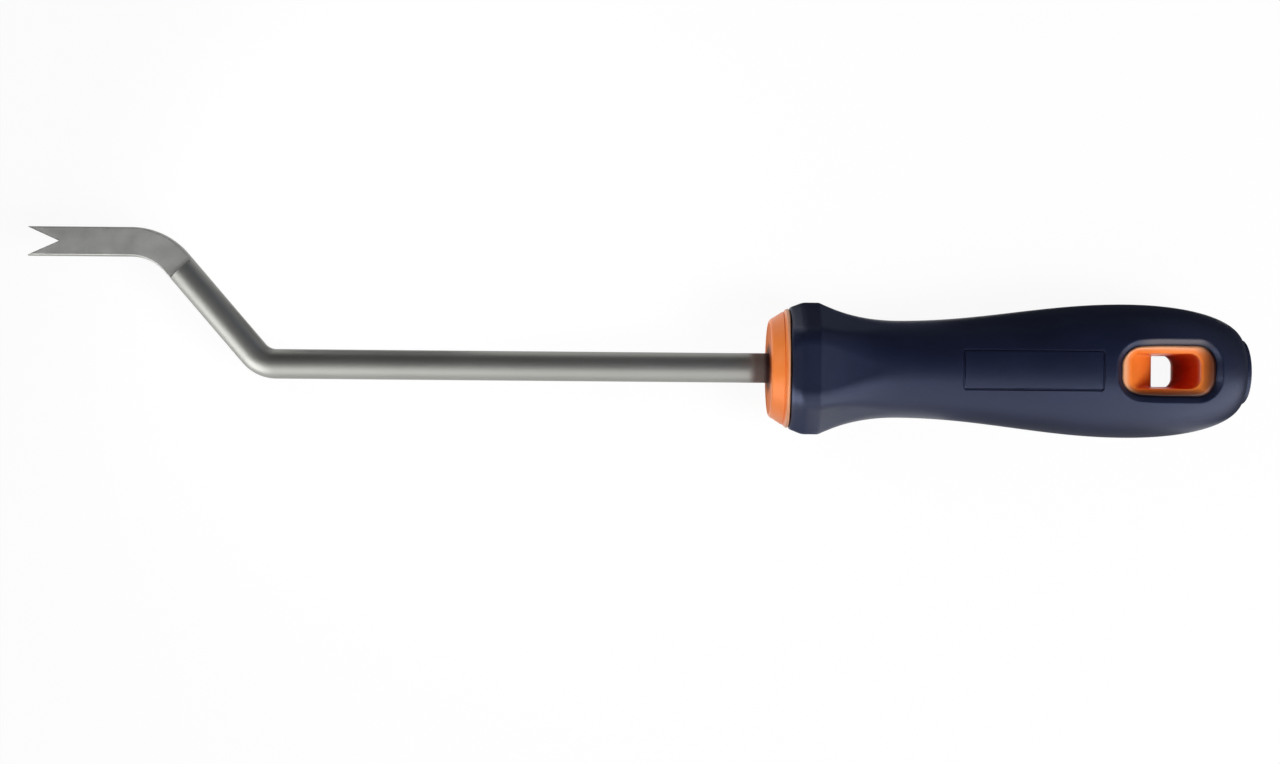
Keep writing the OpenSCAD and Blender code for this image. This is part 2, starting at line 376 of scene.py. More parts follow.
def makeBar(material):
    path, corner = barPath()
    line = bpy.data.meshes.new("barPath")
    line.from_pydata([place(x, y, 0) for x, y in path], [(i, i + 1) for i in range(len(path) - 1)], [])
    source = addObject("barPath", line)
    tree = barTree(material)
    modifier = source.modifiers.new("sweep", "NODES")
    modifier.node_group = tree
    angle = radians(bar["angle"])
    cornerX, cornerY, axis = place(*corner, 0)
    run = bar["notchRun"]
    setInputs(modifier, tree, {
        "Bar radius": bar["radius"] * mm, "Blade half thickness": bar["bladeHalf"] * mm,
        "Cutter radius": bar["cutter"] * mm, "Edge break": bar["edgeBreak"] * mm,
        "Shoulder": bar["shoulder"] * mm, "Leg x": cos(angle), "Leg y": -sin(angle),
        "Corner x": cornerX, "Corner y": cornerY, "Axis height": axis,
        "Notch apex x": cornerX + (bar["notchDepth"] - bar["bladeLength"]) * mm,
        "Notch length": run * bar["notchDepth"] * mm, "Notch width": run * bar["notchMouth"] * mm,
        "Sides": bar["sides"]})
    shaped = source.evaluated_get(bpy.context.evaluated_depsgraph_get())
    mesh = bpy.data.meshes.new_from_object(shaped)
    mesh.name = "forkedBar"
    source.modifiers.clear()
    bpy.data.objects.remove(source)
    mesh.shade_smooth()
    mesh.set_sharp_from_angle(angle=radians(bar["sharpAngle"]))
    return addObject("forkedBar", mesh)


# Soft grip: six-sided collar that runs into a round waist and a flattened belly
grip = {
    "length": 127.8,
    "frontX": 5.5,
    "frontRadius": 16.4,
    "acrossFlats": 32.4,
    "cornerRadius": 5.9,
    "frontHexness": 0.7,  # 0 is round and 1 is the full hexagon, which the collar's land has
    "landStart": 9.1,
    "landEnd": 13.5,
    "landRounds": (0.9, 0.45),  # on the land's front and back edges
    "flareRun": 1.1,
    "flareDrop": 0.55,
    "flarePull": (1.4, 0.4),  # the pulls are how far the outline's curve handles reach
    "waistPull": (12.2, 23),
    "waistX": 34.6,
    "waistRadius": 13.1,
    "bellyPull": (22, 10.4),
    "bellyX": 95.8,
    "bellyRadius": 18.0,
    "bellyDepth": 32.2,
    "buttPull": (0.4, 4.5),
    "padRadius": 8.7,
    "padHeight": 1.2,
    "ringBow": 0.9,  # how far the collar's rings bow towards the nose at the top and the bottom
    "bowEnd": 7,  # the hollow's rings bow only in front of this
    "flangeRadius": 15.2,
    "lipWidth": 1.9,  # the rolled lip round the hanging hole
    "lipDepth": 1.6,
    "lipRoll": 0.35,
    "grooveStart": 50.4,  # the panel's outline groove
    "grooveEnd": 86.3,
    "grooveHalf": 5.15,
    "grooveCorner": 0.7,
    "grooveWidth": 0.55,
    "grooveDepth": 0.38,
    "grooveFlat": 0.25,
    "grooveFade": 0.95,
    "sharpAngle": 38,
}

# The core's body inside the grip, which the grip's hollow follows with some clearance
hidden = {
    "collarRadius": 12.9,
    "waistRadius": 10.05,
    "waistEnd": 44.6,
    "bellyStart": 80,
    "bellyRadius": 12.95,
    "end": 90.4,
    "clearance": 0.05,
    "endClearance": 0.2,
}

# Hanging hole, with a hard rim whose slopes run down to the hole and a throat at half depth
rim = {
    "start": 91.3,
    "end": 116.6,
    "width": 13.5,
    "noseCorner": 5.2,
    "buttCorner": 4.8,
    "taper": 0.12,
    "sink": 1.3,
    "noseSlope": 3.3,
    "buttSlope": 4.0,
    "sideSlope": 2.1,
    "slopeDepth": 2.1,
    "slopeEase": (0.1, 1.1, 1.04),  # where down the slope the fall starts, over how much, and how steeply
    "cornerPower": 0.8,
    "holeNoseCorner": 1.8,
    "holeButtCorner": 3.0,
    "throatStart": 103.3,
    "throatEnd": 112.1,
    "throatWidth": 8.3,
    "throatNoseCorner": 0.3,
    "throatCorner": 4.1,
    "clearance": 0.03,
    "edgeRound": 0.5,
    "skirts": (4, 1.2),  # how deep the rim's outer wall goes
}

# How finely the grip is meshed, and where its rows and columns have to lie
gripMesh = {
    "band": 10.4,  # half width of the band of lengthwise columns
    "steadyBand": 6.0,  # columns within this move in only at the butt, where the rings are narrow
    "bandShare": 0.68,  # how far out both go on a narrow ring, as shares of its half width
    "steadyShare": 0.55,
    "leastReach": 0.35,  # the least share of their distance that the outer columns keep
    "sideCount": 34,
    "curveSteps": 160,
    "innerStep": 0.42,
    "outerStep": 0.45,
    "grooveMargin": 0.35,
    # columns and rows across the groove in its widths, and round its corners in their radii
    "grooveShares": (-1.1, -0.62, -0.42, -0.24, -0.08, 0.08, 0.24, 0.42, 0.62, 1.1),
    "cornerShares": (1.2, 1.7),
    "windowMargins": (1.9, 2.0),
    "rowStep": 0.62,
    "rowGap": 0.2,
    "rowsFrom": 0.6,
    "rowsTo": 2.0,
    "firstRow": 0.45,
    "buttRows": (1.7, 1.5, 1.35),
    "hollowRows": (0.6, 0.04),
    # rings round the front edge and over the pad, as steps from the front's corner and the pad's foot
    "frontEdge": ((0.04, -0.4), (0.06, -0.22), (0.14, -0.07), (0.28, 0.04)),
    "padEdge": ((0, 0.06), (0.05, 0), (0.2, 0), (0.85, 0), (1.02, -0.06), (1.14, -0.2), (1.2, -0.42),
                (1.2, -2.4), (1.2, -5)),
    "faceSteps": (0.2, 0.4, 0.6, 0.8, 1),
    "lipSteps": (0.06, 0.12, 0.18, 0.24, 0.3, 0.36, 0.5, 0.64, 0.78, 0.9, 1),
}


def bezier(p, t):
    u = 1 - t
    return tuple(u ** 3 * a + 3 * u * u * t * b + 3 * u * t * t * c + t ** 3 * d for a, b, c, d in zip(*p))


def roundedCorner(before, corner, after, radius, count=5, most=0.45):  # most is a share of either side
    corner = Vector(corner)
    a, b = Vector(before) - corner, Vector(after) - corner
    reach = min(radius, a.length * most, b.length * most)
    start, end = corner + a.normalized() * reach, corner + b.normalized() * reach
    shares = [i / count for i in range(count + 1)]
    return [tuple(start * (1 - t) ** 2 + corner * 2 * t * (1 - t) + end * t * t) for t in shares]


def gripOutline():
    g = grip
    cornerReach = (g["acrossFlats"] / 2 - g["cornerRadius"]) / cos(pi / 6) + g["cornerRadius"]
    front = (g["frontX"], g["frontRadius"])
    shoulder = (g["landStart"], cornerReach)
    back = (g["landEnd"], cornerReach)
    flare = (g["landEnd"] + g["flareRun"], cornerReach - g["flareDrop"])
    waistX, waistR = g["waistX"], g["waistRadius"]
    bellyX, bellyR = g["bellyX"], g["bellyRadius"]
    padX, padR = g["length"] - g["padHeight"], g["padRadius"]
    toWaist = [flare, (flare[0] + g["flarePull"][0], flare[1] - g["flarePull"][1]),
               (waistX - g["waistPull"][0], waistR), (waistX, waistR)]
    toBelly = [(waistX, waistR), (waistX + g["waistPull"][1], waistR),
               (bellyX - g["bellyPull"][0], bellyR), (bellyX, bellyR)]
    toButt = [(bellyX, bellyR), (padX - g["bellyPull"][1], bellyR),
              (padX - g["buttPull"][0], padR + g["buttPull"][1]), (padX, padR)]
    rounds = roundedCorner(front, shoulder, back, g["landRounds"][0])
    rounds += roundedCorner(shoulder, back, flare, g["landRounds"][1])
    points = [front] + rounds
    steps = gripMesh["curveSteps"]
    for curve in (toWaist, toBelly, toButt):
        points += [bezier(curve, i / steps) for i in range(1, steps + 1)]
    return points, [x for x, r in rounds]


outline, roundedRows = gripOutline()
outlineX = [x for x, r in outline]


def halfWidth(x):  # of the grip, as seen from above
    i = min(max(bisect.bisect_right(outlineX, x), 1), len(outline) - 1)
    (x0, r0), (x1, r1) = outline[i - 1], outline[i]
    return blend(r0, r1, (x - x0) / (x1 - x0)) if x1 > x0 else r1


def hexness(x):
    g = grip
    if x < g["landStart"]:
        return blend(g["frontHexness"], 1, (x - g["frontX"]) / (g["landStart"] - g["frontX"]))
    return 1 - smooth((x - g["landEnd"]) / (g["waistX"] - g["landEnd"]))


def flatten(x):  # how much lower than wide the grip is
    share = smooth((x - grip["waistX"]) / (grip["bellyX"] - grip["waistX"]))
    return 1 + (grip["bellyDepth"] / (2 * grip["bellyRadius"]) - 1) * share


def flatAndCorner(x, half):  # radius to the flats and radius of the corners, for a half width at the corners
    share = 1 - hexness(x) * (1 - 2 * grip["cornerRadius"] / grip["acrossFlats"])
    flatR = half / ((1 - share) / cos(pi / 6) + share)
    return flatR, flatR * share


def edgeRadius(angle, flatR, cornerR):  # from the middle out to the rounded hexagon's edge
    off = abs(angle % (pi / 3) - pi / 6)
    reach = (flatR - cornerR) / cos(pi / 6)
    turn = atan2(cornerR * sin(pi / 6), reach + cornerR * cos(pi / 6))
    if off < turn:
        return reach * cos(off) + sqrt(cornerR ** 2 - (reach * sin(off)) ** 2)
    return flatR / cos(pi / 6 - off)


def topHeight(x, y, half=None):
    flatR, cornerR = flatAndCorner(x, halfWidth(x) if half is None else half)
    inner = (flatR - cornerR) * tan(pi / 6)
    past = max(0.0, abs(y) - inner)
    return flatten(x) * (flatR - cornerR + sqrt(max(0.0, cornerR ** 2 - past ** 2)))


def grooveDrop(x, y):
    g = grip
    halfLength = (g["grooveEnd"] - g["grooveStart"]) / 2
    middle = (g["grooveEnd"] + g["grooveStart"]) / 2
    ax = abs(x - middle) - halfLength + g["grooveCorner"]
    ay = abs(y) - g["grooveHalf"] + g["grooveCorner"]
    away = abs(hypot(max(ax, 0), max(ay, 0)) + min(max(ax, ay), 0) - g["grooveCorner"])
    away = away / (g["grooveWidth"] / 2)
    return g["grooveDepth"] * (1 - smooth((away - g["grooveFlat"]) / g["grooveFade"]))


def bandColumns():
    g, m = grip, gripMesh
    fine = [g["grooveHalf"] + g["grooveWidth"] * share for share in m["grooveShares"]]
    inner = spread(0, fine[0] - m["grooveMargin"], m["innerStep"])
    outer = spread(fine[-1] + m["grooveMargin"], m["band"], m["outerStep"])
    positive = inner + fine + outer
    return [-y for y in reversed(positive[1:])] + positive


def gripStations():
    g, m = grip, gripMesh
    across = [share * g["grooveWidth"] for share in m["grooveShares"]]
    fine = [end + offset for end in (g["grooveStart"], g["grooveEnd"]) for offset in across]
    corners = [g["grooveStart"] + g["grooveCorner"] * share for share in m["cornerShares"]]
    corners += [g["grooveEnd"] - g["grooveCorner"] * share for share in m["cornerShares"]]
    before, after = m["windowMargins"]
    window = [rim["start"] - g["lipWidth"] - before, rim["end"] + g["lipWidth"] + after]
    plain = spread(g["frontX"] + m["rowsFrom"], g["length"] - m["rowsTo"], m["rowStep"])
    plain += [g["length"] - back for back in m["buttRows"]]
    fixed = fine + corners + window + roundedRows
    kept = [x for x in plain if all(abs(x - f) > m["rowGap"] for f in fixed)]
    return [x for x in sorted(kept + fixed) if x > g["frontX"] + m["firstRow"]], window


def ringPoints(x, half, columns):
    m = gripMesh
    squash = flatten(x)
    flatR, cornerR = flatAndCorner(x, half)
    # Where the ring is narrow, the outer columns move in first and then all of them
    squeeze = min(1.0, half * m["steadyShare"] / m["steadyBand"])
    reach = (half * m["bandShare"] - m["steadyBand"]) / (m["band"] - m["steadyBand"])
    reach = min(1.0, max(m["leastReach"], reach))
    top = []
    for column in columns:
        size = abs(column)
        if size > m["steadyBand"]:
            size = m["steadyBand"] + (size - m["steadyBand"]) * reach
        y = (size if column > 0 else -size) * squeeze
        top.append((y, topHeight(x, y, half)))
    edgeY, edgeZ = top[-1]
    edgeAngle = atan2(edgeY, edgeZ / squash)
    side = []
    for i in range(1, m["sideCount"]):
        a = blend(edgeAngle, pi - edgeAngle, i / m["sideCount"])
        r = edgeRadius(a, flatR, cornerR)
        side.append((r * sin(a), squash * r * cos(a)))
    bottom = [(y, -z) for y, z in reversed(top)]
    left = [(-y, z) for y, z in reversed(side)]
    return top + side + bottom + left


def bowed(x, z):
    if x >= grip["waistX"]:
        return x
    return x - grip["ringBow"] * hexness(x) * (z / (grip["acrossFlats"] / 2)) ** 2


def hiddenSteps(clearance):
    h = hidden
    return [(grip["landEnd"], h["collarRadius"] + clearance), (grip["waistX"], h["waistRadius"] + clearance),
            (h["waistEnd"], h["waistRadius"] + clearance), (h["bellyStart"], h["bellyRadius"] + clearance)]


def slabPoint(side, share, length, width, noseCorner, buttCorner, taper=0.0):
    # A point on a rounded rectangle round the origin. The sides are its +X, +Y, -X and -Y ones in that
    # order, and the share runs from the middle of one corner to the middle of the next.
    halfL, halfW = length / 2, width / 2
    corners = [(halfL - buttCorner, -halfW + buttCorner, buttCorner),
               (halfL - buttCorner, halfW - buttCorner, buttCorner),
               (-halfL + noseCorner, halfW - noseCorner, noseCorner),
               (-halfL + noseCorner, -halfW + noseCorner, noseCorner)]
    x0, y0, r0 = corners[side]
    x1, y1, r1 = corners[(side + 1) % 4]
    facing = side * pi / 2
    startX, startY = x0 + r0 * cos(facing), y0 + r0 * sin(facing)
    endX, endY = x1 + r1 * cos(facing), y1 + r1 * sin(facing)
    straight = hypot(endX - startX, endY - startY)
    firstArc, lastArc = r0 * pi / 4, r1 * pi / 4
    gone = share * (firstArc + straight + lastArc)
    if gone < firstArc:
        a = facing - pi / 4 + gone / max(r0, 1e-9)
        x, y = x0 + r0 * cos(a), y0 + r0 * sin(a)
    elif gone < firstArc + straight:
        t = (gone - firstArc) / max(straight, 1e-9)
        x, y = blend(startX, endX, t), blend(startY, endY, t)
    else:
        a = facing + (gone - firstArc - straight) / max(r1, 1e-9)
        x, y = x1 + r1 * cos(a), y1 + r1 * sin(a)
    return x, y * (1 - taper * max(0.0, -x / halfL) ** 2)


def loopPoints(counts, length, width, noseCorner, buttCorner, taper, middle, height):
    points = []
    for side in range(4):
        for i in range(counts[side % 2]):
            x, y = slabPoint(side, i / counts[side % 2], length, width, noseCorner, buttCorner, taper)
            points.append((middle + x, y, height(middle + x, y)))
    return points


def gripRings(columns, stations):
    g, m = grip, gripMesh
    front, pad = g["frontX"], g["length"] - g["padHeight"]
    angles = [atan2(y, z) for y, z in ringPoints(front, g["frontRadius"], columns)]
    # The hollow for the core comes first, from its closed end to the front
    clearance = hidden["clearance"]
    mouth = hidden["collarRadius"] + clearance
    hollow = [(hidden["end"] + hidden["endClearance"], hidden["bellyRadius"] + clearance)]
    hollow += reversed(hiddenSteps(clearance))
    hollow += [(front + step, mouth) for step in m["hollowRows"]]
    hollow += [(front + m["hollowRows"][-1], g["flangeRadius"])]
    rings = []
    for x, r in hollow:
        share = 1 if x < g["bowEnd"] else 0
        rings.append([(bowed(x, r * cos(a) * share), r * sin(a), r * cos(a)) for a in angles])
    for step, extra in m["frontEdge"]:
        x = front + step
        rings.append([(bowed(x, z), y, z) for y, z in ringPoints(x, g["frontRadius"] + extra, columns)])
    before = len(rings)
    for x in stations:
        ring = []
        for y, z in ringPoints(x, halfWidth(x), columns):
            drop = grooveDrop(x, y) if z > 0 and abs(y) < m["band"] else 0
            ring.append((bowed(x, z), y, z - drop))
        rings.append(ring)
    for step, extra in m["padEdge"]:
        rings.append([(pad + step, y, z) for y, z in ringPoints(pad, g["padRadius"] + extra, columns)])
    return rings, before


# The far side of the lip is painted pale as a painted highlight: where that starts across the grip, and how
# far it goes along it
lipSheen = {"from": 3.5, "over": 2.5, "reach": 11, "fade": 5, "shift": 1.5}


def makeGrip(material):
    g, w = grip, lipSheen
    columns = bandColumns()
    stations, window = gripStations()
    rings, before = gripRings(columns, stations)
    points = [p for ring in rings for p in ring]
    around = len(rings[0])
    firstRow = before + stations.index(window[0])
    lastRow = before + stations.index(window[1])
    last = len(columns) - 1
    under = last + gripMesh["sideCount"]  # where the band starts on the underside
    faces = []
    for row in range(len(rings) - 1):
        for j in range(around):
            inBand = j < last or under <= j < under + last
            if inBand and firstRow <= row < lastRow:
                continue
            a, b = row * around + j, row * around + (j + 1) % around
            faces.append((a, a + around, b + around, b))
    # Both ends close on a middle point
    start, end = len(points), len(points) + 1
    points += [(hidden["end"] + hidden["endClearance"], 0, 0), (g["length"], 0, 0)]
    tail = (len(rings) - 1) * around
    faces += [(start, j, (j + 1) % around) for j in range(around)]
    faces += [(end, tail + (j + 1) % around, tail + j) for j in range(around)]

    length, width = rim["end"] - rim["start"] + 2 * rim["clearance"], rim["width"] + 2 * rim["clearance"]
    middle = (rim["end"] + rim["start"]) / 2
    lip, roll, band = g["lipWidth"], g["lipRoll"], gripMesh["band"]
    opening = [(window[1], -band), (window[1], band), (window[0], band), (window[0], -band)]

    def windowEdge(flipped):  # each point round the window, with the side that it is on
        def at(row, j):
            return row * around + (under + last - j if flipped else j)

        rows = range(lastRow - firstRow)
        edge = [(at(lastRow, j), 0) for j in range(last)]
        edge += [(at(lastRow - i, last), 1) for i in rows]
        edge += [(at(firstRow, last - j), 2) for j in range(last)]
        edge += [(at(firstRow + i, 0), 3) for i in rows]
        return edge

    def windowLoops(flipped):  # from the window in over the face, then down the lip
        face = -1 if flipped else 1
        edge = windowEdge(flipped)
        shares = []
        for index, side in edge:
            x, y, z = points[index]
            (px, py), (qx, qy) = opening[side], opening[(side + 1) % 4]
            share = (x - px) / (qx - px) if side % 2 else (y - py) / (qy - py)
            shares.append((side, min(1.0, max(0.0, share))))

        def lipLoop(out):
            return [slabPoint(side, share, length + 2 * lip * out, width + 2 * lip * out,
                              rim["noseCorner"] + lip * out, rim["buttCorner"] + lip * out, rim["taper"])
                    for side, share in shares]

        made = []
        for share in gripMesh["faceSteps"]:
            ring = []
            for (index, side), (x, y) in zip(edge, lipLoop(1)):
                x, y = blend(points[index][0], middle + x, share), blend(points[index][1], y, share)
                ring.append((x, y, face * topHeight(x, y)))
            made.append((ring, 0.0))
        for u in gripMesh["lipSteps"]:
            drop = g["lipDepth"] * (u * u / (2 * roll) if u < roll else u - roll / 2) / (1 - roll / 2)
            ring = [(middle + x, y, face * (topHeight(middle + x, y) - drop)) for x, y in lipLoop(1 - u)]
            made.append((ring, u))
        return [index for index, side in edge], made

    topEdge, topMade = windowLoops(False)
    lowEdge, lowMade = windowLoops(True)
    loops = [topEdge]
    # painted pale highlight on the lip's far side
    worn = [0.0] * len(points)
    for ring, u in topMade + lowMade[::-1]:
        loops.append(range(len(points), len(points) + len(ring)))
        points += ring
        worn += [4 * u * (1 - u) * smooth((y - w["from"]) / w["over"])
                 * smooth((w["reach"] - abs(x - middle - w["shift"])) / w["fade"]) for x, y, z in ring]
    loops.append(lowEdge)
    for upper, lower in zip(loops, loops[1:]):
        for i in range(len(upper)):
            k = (i + 1) % len(upper)
            faces.append((upper[i], upper[k], lower[k], lower[i]))
    return meshPiece("softGrip", points, faces, material, g["sharpAngle"], {"worn": worn})


# Hard nose round the bar, with a fine groove and then a flatter bead against the soft grip
nose = {
    "faceRadius": 12.3,
    "faceRings": (6, 8, 10.5, 12.0),
    "round": 1.2,
    "roundSteps": 8,
    "backRadius": 16.08,
    "backX": 5.2,
    "backEdge": ((0.6, 0.17), (0.3, 0), (0.16, 0.02), (0.05, 0.12), (0, 0.3)),  # in from the back's corner
    "seatRadius": 15,
    "grooveX": 3.85,
    "grooveHalf": 0.3,
    "grooveDepth": 0.25,
    # across the groove in its half widths, with the share of its depth
    "grooveSteps": ((-0.6, 0.5), (-0.25, 0.95), (0.15, 1), (0.6, 0.5), (1, 0), (1.5, -0.25), (2.3, -0.4)),
    "coneStep": 0.5,
    "bore": 4.03,
    "boreChamfer": 0.3,
    "boreSoftening": (0.05, 0.8),
    "boreEnd": 87.4,
    "bowShare": 0.7,
    "segments": 160,
    "sharpAngle": 32,
}

# Loops of the rim: the number of points on its sides, and the steps down its slope and into its throat
rimMesh = {
    "counts": (30, 46),
    "roundSteps": 5,
    "slopeSteps": (0.24, 0.32, 0.4, 0.5, 0.6, 0.7, 0.8, 0.9, 0.96, 1),
    "throatSteps": (0.03, 0.1, 0.22, 0.36, 0.5, 0.64, 0.78, 0.9, 1),
}

# Painted shade and painted highlights on the core. Distances from the middle are shares of the rim's half
# size
corePaintedLight = {
    "edge": 0.5,
    "fade": 0.4,
    "holeShade": 0.68,
    "shadeStop": 0.2,
    "highlight": 0.6,
    "highlightUntil": 0.9,
    "highlightFade": 0.7,
    "farHighlight": 0.92,
    "insideFade": 0.15,
    "beadHighlight": 0.55,
    "beadHighlightFrom": (3.95, 0.3),  # where along the nose it starts, and over how much
    "beadShade": 0.3,
    "beadShadeFrom": (4.1, 0.4),
    "beadEnd": (6, 0.5),
}


def noseProfile():
    n = nose
    bore, chamfer, backX, backR = n["bore"], n["boreChamfer"], n["backX"], n["backRadius"]
    steep = atan2(backR - n["faceRadius"] - n["round"], backX - n["round"])
    softX, softShare = n["boreSoftening"]
    profile = [(n["boreEnd"], 0), (n["boreEnd"], bore), (chamfer, bore), (softX, bore + chamfer * softShare)]
    profile += [(0, r) for r in (bore + chamfer,) + n["faceRings"]]
    for i in range(n["roundSteps"] + 1):
        a = (pi / 2 - steep) * i / n["roundSteps"]
        profile.append((n["round"] * (1 - cos(a)), n["faceRadius"] + n["round"] * sin(a)))
    fromX, fromR = profile[-1]
    toX = backX - n["backEdge"][1][0]
    half, sunk = n["grooveHalf"], n["grooveDepth"]

    def cone(x, extra=0.0):
        return x, blend(fromR, backR, (x - fromX) / (toX - fromX)) + extra

    profile += [cone(x) for x in spread(fromX, n["grooveX"] - half, n["coneStep"])[1:]]
    profile += [cone(n["grooveX"] + half * k, -sunk * deep) for k, deep in n["grooveSteps"]]
    profile += [(backX - along, backR - down) for along, down in n["backEdge"]]
    profile += [(backX, n["seatRadius"]), (backX, hidden["collarRadius"])] + hiddenSteps(0)
    return profile + [(hidden["end"], hidden["bellyRadius"]), (hidden["end"], 0)]


def lathe(profile, count, bow):
    points, faces, rows = [], [], []
    for x, r in profile:
        rows.append([])
        for i in range(count if r else 1):  # a pole is one point
            a = 2 * pi * i / count
            z = r * cos(a)
            rows[-1].append(len(points))
            points.append((x - bow(x) * (z / axisHeight) ** 2, r * sin(a), z))
    for first, second in zip(rows, rows[1:]):
        for i in range(count):
            k = (i + 1) % count
            if len(first) == 1:
                faces.append((first[0], second[i], second[k]))
            elif len(second) == 1:
                faces.append((first[k], first[i], second[0]))
            else:
                faces.append((first[i], second[i], second[k], first[k]))
    return points, faces


def rimLoops():  # from the hidden wall over the rim, down the slope and through the throat to the other side
    r, counts = rim, rimMesh["counts"]
    middle = (r["start"] + r["end"]) / 2
    length, width = r["end"] - r["start"], r["width"]
    mouth = topHeight(middle, 0) - r["sink"]
    floor = mouth - r["slopeDepth"]

    def outer(inset, drop):
        return loopPoints(counts, length - 2 * inset, width - 2 * inset, r["noseCorner"] - inset,
                          r["buttCorner"] - inset, r["taper"], middle,
                          lambda x, y: topHeight(x, y) - r["sink"] - drop)

    loops = [outer(r["clearance"], drop) for drop in r["skirts"]]
    for i in range(rimMesh["roundSteps"] + 1):
        a = pi / 2 * i / rimMesh["roundSteps"]
        loops.append(outer(r["clearance"] + r["edgeRound"] * (1 - cos(a)), r["edgeRound"] * (1 - sin(a))))
    # How deep each loop lies: 0 on the outer edge, 1 at the hole and 2 in the throat
    depths = [0.0] * len(loops)
    for q in rimMesh["slopeSteps"]:
        depths.append(q)
        x0, x1 = r["start"] + r["noseSlope"] * q, r["end"] - r["buttSlope"] * q
        start, over, gain = r["slopeEase"]
        fall = r["slopeDepth"] * smooth((q - start) / over) * gain if q < 1 else r["slopeDepth"]
        turned = q ** r["cornerPower"]
        corners = [blend(r["noseCorner"], r["holeNoseCorner"], turned),
                   blend(r["buttCorner"], r["holeButtCorner"], turned)]
        loops.append(loopPoints(counts, x1 - x0, width - 2 * r["sideSlope"] * q, *corners,
                                r["taper"] * (1 - q), (x0 + x1) / 2,
                                lambda x, y: blend(topHeight(x, y) - r["sink"], mouth, q) - fall))
    holeStart, holeEnd = r["start"] + r["noseSlope"], r["end"] - r["buttSlope"]
    holeWidth = width - 2 * r["sideSlope"]
    for t in rimMesh["throatSteps"]:
        depths.append(1 + t)
        x0, x1 = blend(holeStart, r["throatStart"], t), blend(holeEnd, r["throatEnd"], t)
        corners = [blend(r["holeNoseCorner"], r["throatNoseCorner"], t),
                   blend(r["holeButtCorner"], r["throatCorner"], t)]
        loops.append(loopPoints(counts, x1 - x0, blend(holeWidth, r["throatWidth"], t), *corners, 0.0,
                                (x0 + x1) / 2, lambda x, y: floor * (1 - t)))
    loops += [[(x, y, -z) for x, y, z in loop] for loop in reversed(loops[:-1])]
    return loops, depths + depths[-2::-1], middle, length, width


def makeCore(material):
    n, w = nose, corePaintedLight
    bow = grip["ringBow"] * n["bowShare"] / n["backX"]
    points, faces = lathe(noseProfile(), n["segments"], lambda x: bow * x if x <= n["backX"] else 0)

    def onBead(x, strength, start, over):
        beadEnd, fade = w["beadEnd"]
        return strength * smooth((x - start) / over) * smooth((beadEnd - x) / fade)

    # painted highlight on the bead's edge and painted shade in its crease against the soft grip
    rubbed = [onBead(x, w["beadHighlight"], *w["beadHighlightFrom"]) for x, y, z in points]
    soiled = [onBead(x, w["beadShade"], *w["beadShadeFrom"]) for x, y, z in points]
    inside = [0.0] * len(points)
    loops, depths, middle, length, width = rimLoops()
    base, count = len(points), len(loops[0])
    for loop, deep in zip(loops, depths):
        points += loop
        inside += [smooth((deep - 1) / w["insideFade"])] * count
        # Painted shade lies along the rim's butt side and its side towards -Y, and the other two get a
        # painted pale highlight
        shadeStrength = blend(1, w["holeShade"], deep) * smooth((1 - deep) / w["shadeStop"])
        highlight = w["highlight"] * smooth((w["highlightUntil"] - deep) / w["highlightFade"])
        for x, y, z in loop:
            toButt, toFar = (x - middle) / length * 2, y / width * 2
            soiled.append(shadeStrength * smooth((max(toButt, -toFar) - w["edge"]) / w["fade"]))
            rubbed.append(highlight * smooth((max(-toButt, w["farHighlight"] * toFar) - w["edge"]) / w["fade"]))
    for i in range(len(loops)):
        first, second = base + i * count, base + (i + 1) % len(loops) * count
        for k in range(count):
            m = (k + 1) % count
            faces.append((first + k, first + m, second + m, second + k))
    return meshPiece("hardCore", points, faces, material, n["sharpAngle"],
                     {"soiled": soiled, "rubbed": rubbed, "inside": inside})


# The finishes have their places and sizes in metres, as Object coordinates do
steelFinish = {
    "colour": "#969692",
    "milledColour": "#b6b6b3",
    # painted shade and a painted reflection of the nose near the handle, then a painted contact shadow in
    # the mouth
    "nearNoseShadeColour": "#6c625e",
    "nearNoseShade": (-0.0172, -0.0146),  # along X, where it starts and where it is full
    "barMouthShadeColour": "#2c0a06",
    "soiled": (-0.0131, -0.0118),
    "shadeStrength": 0.95,
    "roughness": 0.44,
    "cloud": 60,  # the scales of the noises
    "grain": 5200,
    "mottle": 240,
    "scratchAlong": (400, 120),
    "scratchAcross": (3000, 900),
    "bump": (0.06, 0.00003),
}


